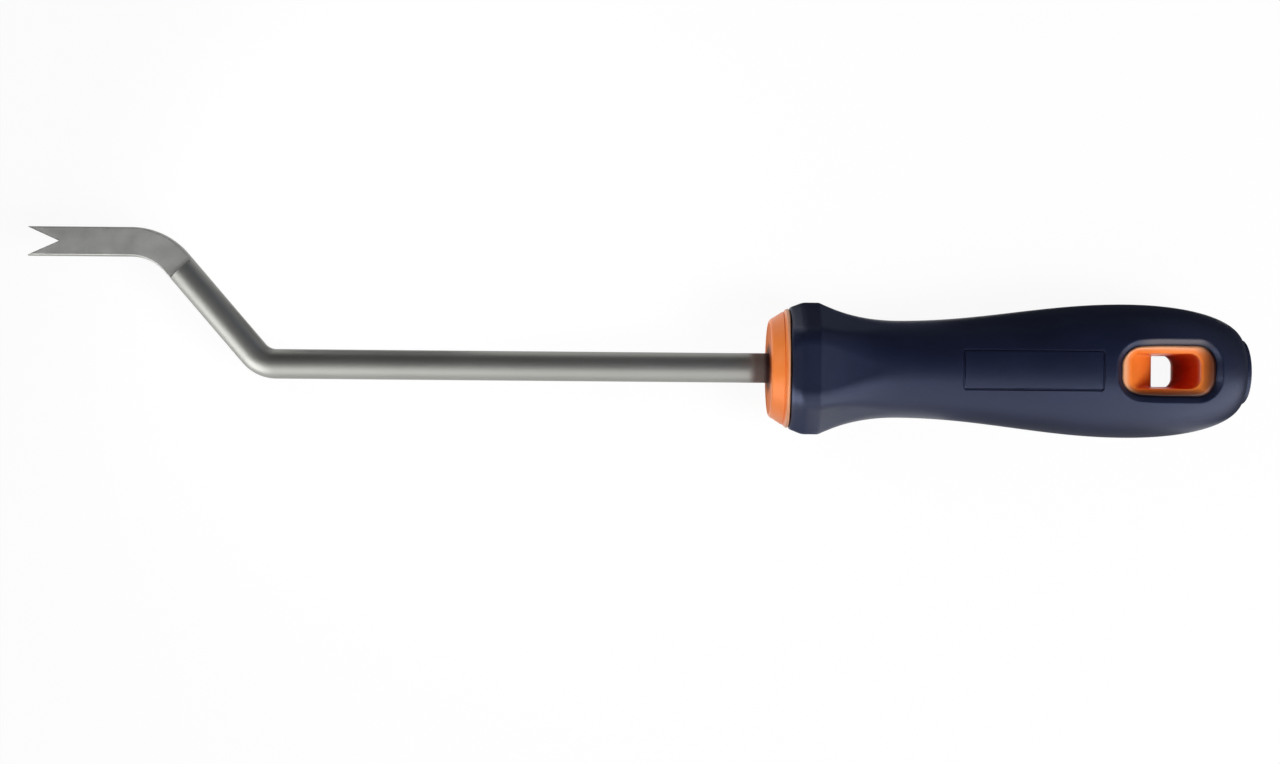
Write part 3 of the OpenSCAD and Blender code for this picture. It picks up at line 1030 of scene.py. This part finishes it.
def satinSteel():
    f = steelFinish
    material, bench = blankMaterial("satinSteel")
    where = bench.where()
    x, y, z = bench.parts(where)
    milled = bench.mark("milled")
    cloud = bench.noise(where, f["cloud"], 3)
    grain = bench.noise(where, f["grain"])
    # Fine scratches, drawn out along the bar and a little aslant
    (along, alongSlant), (across, acrossSlant) = f["scratchAlong"], f["scratchAcross"]
    drawn = bench.vector(x * along + y * alongSlant, y * across - x * acrossSlant, z * across)
    scratch = bench.noise(drawn, 1.0, 4)
    mottle = (bench.noise(where, f["mottle"], 4, 0.6) - 0.5) * milled
    tone = cloud * 0.1 + grain * 0.06 + mottle * 0.5 + 0.92
    tone = bench.add("ShaderNodeCombineColor", {}, {0: tone, 1: tone, 2: tone})
    # The bar is darkened where it enters the handle, as painted shade with a painted reflection of the nose,
    # and darker still in the mouth itself as a painted contact shadow
    nearShade = x.ease(*f["nearNoseShade"])
    base = bench.mixed(milled, tint(f["colour"]), tint(f["milledColour"]))
    base = bench.mixed(nearShade, base, tint(f["nearNoseShadeColour"]))
    base = bench.mixed(x.ease(*f["soiled"]) * f["shadeStrength"], base, tint(f["barMouthShadeColour"]))
    bench.surface(bench.principled({
        "Base Color": bench.mixed(1.0, base, tone, "MULTIPLY"),
        "Metallic": 1 - nearShade * 0.6,
        "Roughness": f["roughness"] + milled * 0.06 + cloud * 0.06 + mottle * 0.2 + nearShade * 0.3,
        "Normal": bench.bump(grain * 0.3 + scratch * 1.5, *f["bump"])}))
    return material


gripFinish = {
    "colours": ("#04081b", "#060c22"),
    # painted pale highlight on the lip's far side
    "lipHighlightColour": "#5c5450",
    "worn": 0.9,
    "roughness": 0.36,
    "gloss": 1.56,  # index of refraction
    "glossTint": (0.72, 0.82, 1.25, 1),
    "cloud": 90,
    "grain": 3200,
    "smudge": 260,
    "bump": (0.45, 0.00008),
}


def softRubber():
    f = gripFinish
    material, bench = blankMaterial("softRubber")
    where = bench.where()
    grain = bench.noise(where, f["grain"], 3)
    cloud = bench.noise(where, f["cloud"], 3)
    smudge = bench.noise(where, f["smudge"], 4, 0.6).ease(0.55, 0.72)
    colour = bench.mixed(cloud.ease(0.3, 0.8), *[tint(c) for c in f["colours"]])
    # painted pale highlight on the lip's far side
    colour = bench.mixed(bench.mark("worn") * f["worn"], colour, tint(f["lipHighlightColour"]))
    bench.surface(bench.principled({
        "Base Color": colour,
        "Roughness": f["roughness"] + cloud * 0.1 + smudge * 0.06,
        "IOR": f["gloss"],
        "Specular Tint": f["glossTint"],
        "Normal": bench.bump(grain, *f["bump"])}))
    return material


coreFinish = {
    "colours": ("#ee7b2d", "#f28538"),
    # painted shade round the bar's mouth
    "noseMouthShadeColour": "#501806",
    "mouth": 0.88,
    "mouthRadius": (0.0136, 0.0085),  # from the bar's axis, where the painted shade ends and where it is full
    "mouthStretch": 3.2,  # above 1 it keeps the painted shade from spreading sideways
    "mouthDepth": (-0.0098, -0.0107),
    "mouthRagged": 0.004,
    # pale painted highlight, then dark painted shade
    "highlightColour": "#eec09a",
    "paintedShadeColour": "#220a03",
    "roughness": 0.3,
    "gloss": 1.45,
    # painted shade deep in the hole
    "insideShadeColour": "#d2481a",
    "insideRoughness": 0.8,
    "insideGloss": 1.1,
    "insideFrom": (0.09, 0.098),
    "cloud": 110,
    "grain": 2500,
    "smear": 420,
    "bump": (0.15, 0.00004),
}


def hardPlastic():
    f = coreFinish
    material, bench = blankMaterial("hardPlastic")
    where = bench.where()
    x, y, z = bench.parts(where)
    cloud = bench.noise(where, f["cloud"], 3)
    smear = bench.noise(where, f["smear"], 3, 0.6)
    bump = bench.bump(bench.noise(where, f["grain"]), *f["bump"])
    colour = bench.mixed(cloud.ease(0.3, 0.75), *[tint(c) for c in f["colours"]])
    # Painted shade round the bar's mouth on the nose face, standing in for the bar's shadow and dark
    # reflection
    up = z - axisHeight * mm
    away = (y * y * f["mouthStretch"] + up * up).root() + (smear - 0.5) * f["mouthRagged"]
    mouth = away.ease(*f["mouthRadius"]) * x.ease(*f["mouthDepth"])
    colour = bench.mixed(mouth * f["mouth"], colour, tint(f["noseMouthShadeColour"]))
    # painted highlights on the rim's nose and far slopes and the bead, painted shade on its butt and -Y
    # slopes and in the bead's crease
    colour = bench.mixed(bench.mark("rubbed"), colour, tint(f["highlightColour"]))
    colour = bench.mixed(bench.mark("soiled"), colour, tint(f["paintedShadeColour"]))
    outer = bench.principled({"Base Color": colour, "Roughness": f["roughness"] + cloud * 0.08,
                              "IOR": f["gloss"], "Normal": bump})
    # Deep in the hanging hole the plastic is left matt, and its colour is deepened as painted shade
    inner = bench.principled({"Base Color": tint(f["insideShadeColour"]), "Roughness": f["insideRoughness"],
                              "IOR": f["insideGloss"], "Normal": bump})
    share = bench.mark("inside") * x.ease(*f["insideFrom"])
    bench.surface(bench.add("ShaderNodeMixShader", {}, {0: share, 1: outer, 2: inner}))
    return material


# Lamps and boards stand around the tool, and their angles are measured from straight up
studio = {
    "world": 0.1,
    "middle": (-46, 0, 16),
    "floorGlow": 0.93,
    "floorHalf": 3,  # metres
    "floorColour": "#fdfdfd",
    "coolCast": (0.82, 0.9, 1.2),
    "arcStep": 5,  # degrees
}

lamps = {  # sizes and distance in metres, lean towards -Y and towards +X in degrees
    "longKey": {"along": 2.0, "across": 0.8, "distance": 1.0, "lean": (48, 20), "brightness": 0.85},
    "softSide": {"along": 0.6, "across": 0.6, "distance": 1.0, "lean": (24, 32), "brightness": 1.5},
    "rightKey": {"along": 0.35, "across": 0.35, "distance": 1.0, "lean": (20, 42), "brightness": 14,
                 "glossy": False},
    "nearLeft": {"along": 0.08, "across": 0.12, "distance": 0.12, "lean": (-24, -48), "brightness": 4.0,
                 "glossy": False},
}


def arc(start, end, reach):  # places at one distance from the tool, by their angle from straight up to -Y
    angles = [radians(a) for a in spread(start, end, studio["arcStep"])]
    return [(-reach * sin(a), reach * cos(a)) for a in angles]


overhead = arc(22, -90, 0.7)
low = -0.014  # just over the floor
farFloor = [(0.7, low), (0.022, low)]

# Boards that only reflections show, in metres from the studio's middle. Each is a profile that runs along
# X, or along Y where it says so, between two places. Its greys go from one end of the profile to the other.
boards = {
    "shadeBoard": {"between": (0.05, 0.4), "profile": overhead, "cool": True,
                   "greys": [(0, 0.28), (0.2, 0.17), (0.4, 0.05), (0.7, 0.012), (1, 0.012)]},
    "neckBoard": {"between": (0.4, 1.1), "profile": overhead, "cool": True,
                  "greys": [(0, 0.6), (0.2, 0.6), (0.6, 0.55), (1, 0.5)]},
    "buttBoard": {"between": (1.1, 2.0), "profile": overhead,
                  "greys": [(0, 0.1), (0.4, 0.03), (1, 0.012)]},
    "barBoard": {"between": (-1.5, -0.08), "profile": overhead,
                 "greys": [(0, 0.5), (0.2, 0.3), (0.4, 0.08), (0.7, 0.02), (1, 0.03)]},
    "midBoard": {"between": (-0.08, 0.05), "profile": overhead,
                 "greys": [(0, 0.4), (0.2, 0.28), (0.4, 0.32), (0.6, 0.45), (0.8, 0.5), (1, 0.4)]},
    "brightBoard": {"between": (-1.3, 1.7), "profile": arc(86, 26, 1.2),
                    "greys": [(0, 1.5), (0.12, 1.5), (0.3, 0.9), (0.6, 0.6), (1, 0.4)]},
    "farBoard": {"between": (0.085, 1.5), "profile": farFloor, "cool": True,
                 "greys": [(0, 0.02), (1, 0.07)]},
    "neckFloor": {"between": (0.056, 0.085), "profile": farFloor, "cool": True,
                  "greys": [(0, 0.3), (1, 0.2)]},
    "collarFloor": {"between": (0.036, 0.056), "profile": farFloor, "cool": True,
                    "greys": [(0, 0.03), (1, 0.07)]},
    "noseFloor": {"between": (0.028, 0.0345), "profile": [(0.013, low), (-0.013, low)],
                  "greys": [(0, 0.12), (1, 0.12)]},
    "collarSky": {"between": (0.07, 0.14), "profile": arc(15, 75, 0.5),
                  "greys": [(0, 0.25), (1, 0.5)]},
    "collarShade": {"between": (0.032, 0.05), "profile": [(-0.022, low), (-0.12, low)], "cool": True,
                    "greys": [(0, 0.3), (1, 0.5)]},
    "bellyShade": {"between": (0.085, 0.155), "profile": [(-0.021, low), (-0.3, low)],
                   "greys": [(0, 0.3), (1, 0.6)]},
    "buttFloor": {"runs": "Y", "between": (-0.05, 0.3), "profile": [(0.168, low), (0.5, low)],
                  "greys": [(0, 0.12), (1, 0.3)]},
    "legShade": {"between": (-0.1, -0.05), "profile": [(0.1, low), (0.02, low)],
                 "greys": [(0, 0.5), (1, 0.2)]},
    "endBoard": {"runs": "Y", "between": (-1.1, -0.22), "profile": [(-0.6, -0.015), (-0.6, 0.85)],
                 "greys": [(0, 5.0), (0.8, 5.0), (1, 3.0)]},
    "endShade": {"runs": "Y", "between": (-0.22, 1.1), "profile": [(-0.6, -0.015), (-0.6, 0.5)],
                 "greys": [(0, 0.2), (1, 0.4)]},
    "rightBoard": {"runs": "Y", "between": (-1.1, -0.1), "profile": [(0.6, -0.015), (0.6, 0.6)],
                   "greys": [(0, 3.0), (0.6, 2.0), (1, 1.0)]},
    "rightShade": {"runs": "Y", "between": (-0.1, 1.1), "profile": [(0.6, -0.015), (0.6, 0.5)],
                   "greys": [(0, 0.25), (1, 0.3)]},
}


def seenPlain(bench):  # 1 for what the camera, a gloss or a see-through surface shows
    rays = [bench.add("ShaderNodeLightPath", {}, {}, name) for name in
            ("Is Camera Ray", "Is Glossy Ray", "Is Transmission Ray")]
    return rays[0].most(rays[1]).most(rays[2])


def litWorld(scene):
    world = bpy.data.worlds.new("studioWorld")
    scene.world = world
    world.use_nodes = True
    world.cycles.sampling_method = "NONE"
    world.node_tree.nodes.clear()
    bench = Workbench(world.node_tree)
    light = bench.add("ShaderNodeBackground", {}, {"Color": (1, 1, 1, 1), "Strength": studio["world"]})
    pale = bench.add("ShaderNodeBackground", {}, {"Color": (1, 1, 1, 1), "Strength": 1.0})
    mixed = bench.add("ShaderNodeMixShader", {}, {0: seenPlain(bench), 1: light, 2: pale})
    bench.add("ShaderNodeOutputWorld", {}, {"Surface": mixed})


def hangLamp(name, settings):
    data = bpy.data.lights.new(name, "AREA")
    data.shape = "RECTANGLE"
    data.size = settings["along"]
    data.size_y = settings["across"]
    data.energy = settings["brightness"] * pi * settings["along"] * settings["across"]
    lamp = addObject(name, data)
    towardsY, towardsX = (tan(radians(a)) for a in settings["lean"])
    aim = Vector((towardsX, -towardsY, 1)).normalized()
    lamp.location = Vector(studio["middle"]) * mm + aim * settings["distance"]
    lamp.rotation_euler = aim.to_track_quat("Z", "Y").to_euler()
    lamp.visible_glossy = settings.get("glossy", True)
    lamp.visible_camera = False


def standBoard(name, settings):
    middle = Vector(studio["middle"]) * mm
    points, shares, reach = [], [], 0.0
    profile = settings["profile"]
    for i, (side, height) in enumerate(profile):
        if i:
            reach += hypot(side - profile[i - 1][0], height - profile[i - 1][1])
        for end in settings["between"]:
            spot = (side, end, height) if settings.get("runs") == "Y" else (end, side, height)
            points.append(middle + Vector(spot))
            shares.append(reach)
    mesh = bpy.data.meshes.new(name)
    mesh.from_pydata(points, [], [(2 * i, 2 * i + 1, 2 * i + 3, 2 * i + 2) for i in range(len(profile) - 1)])
    mesh.attributes.new("share", "FLOAT", "POINT").data.foreach_set("value", [s / reach for s in shares])
    board = addObject(name, mesh)
    for way in ("camera", "diffuse", "transmission", "volume_scatter", "shadow"):
        setattr(board, "visible_" + way, False)
    material, bench = blankMaterial(name)
    material.cycles.emission_sampling = "NONE"
    cast = studio["coolCast"] if settings.get("cool") else (1, 1, 1)
    stops = [(share, tuple(grey * c for c in cast) + (1,)) for share, grey in settings["greys"]]
    grey = bench.add("ShaderNodeValToRGB", {"stops": stops}, {"Fac": bench.mark("share")}, "Color")
    bench.surface(bench.add("ShaderNodeEmission", {}, {"Color": grey, "Strength": 1.0}))
    mesh.materials.append(material)


def layFloor():
    half = studio["floorHalf"]
    mesh = bpy.data.meshes.new("floor")
    corners = [(-half, -half, 0), (half, -half, 0), (half, half, 0), (-half, half, 0)]
    mesh.from_pydata(corners, [], [(0, 1, 2, 3)])
    floor = addObject("floor", mesh)
    material, bench = blankMaterial("paleFloor")
    matte = bench.add("ShaderNodeBsdfDiffuse", {}, {"Color": tint(studio["floorColour"])})
    glow = bench.add("ShaderNodeEmission", {}, {"Color": (1, 1, 1, 1), "Strength": 1.0})
    share = seenPlain(bench) * studio["floorGlow"]
    bench.surface(bench.add("ShaderNodeMixShader", {}, {0: share, 1: matte, 2: glow}))
    mesh.materials.append(material)


def makeStudio():
    scene = bpy.context.scene
    scene.view_settings.view_transform = "Standard"
    litWorld(scene)
    for name, settings in lamps.items():
        hangLamp(name, settings)
    for name, settings in boards.items():
        standBoard(name, settings)
    layFloor()


fit(makeBar(satinSteel()), "forked_shaft")
fit(makeGrip(softRubber()), "soft_grip")
fit(makeCore(hardPlastic()), "handle_core")
makeStudio()
print("studio set")
